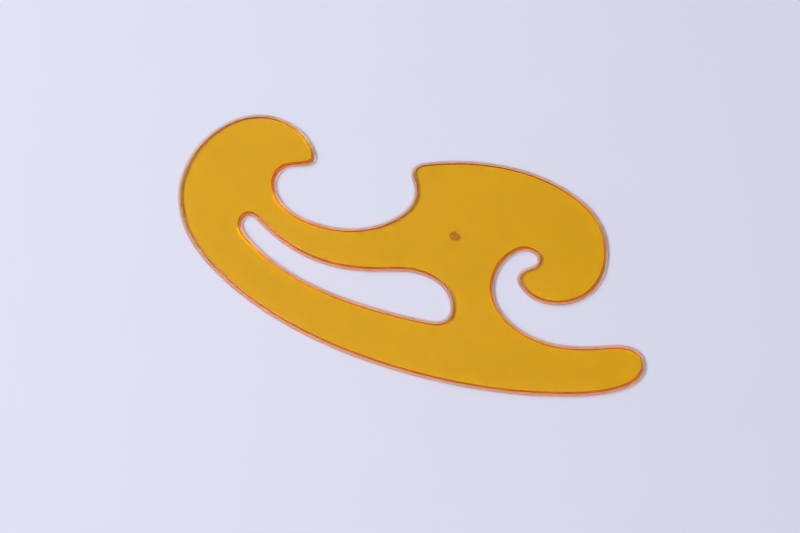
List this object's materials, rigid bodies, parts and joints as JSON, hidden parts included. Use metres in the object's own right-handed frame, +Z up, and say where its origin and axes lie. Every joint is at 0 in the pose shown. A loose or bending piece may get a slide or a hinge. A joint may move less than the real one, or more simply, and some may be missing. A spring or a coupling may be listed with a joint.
{
  "type": "french curve",
  "caption": "Flat transparent amber drawing template with a round head, hooked bays, a long base sweep, a teardrop slot and a thin stepped inking lip.",
  "frame": {"origin": "centre of the plate's bounding box, on its underside", "axes": "+X along the length towards the tail, +Y across the plate towards the crest, +Z up out of the top face"},
  "size_m": [0.21, 0.1032, 0.002],
  "materials": {
    "amber_plastic": "clear polished, lightly handled"
  },
  "bodies": {
    "root": {"curve_plate": "amber_plastic"}
  },
  "joints": []
}
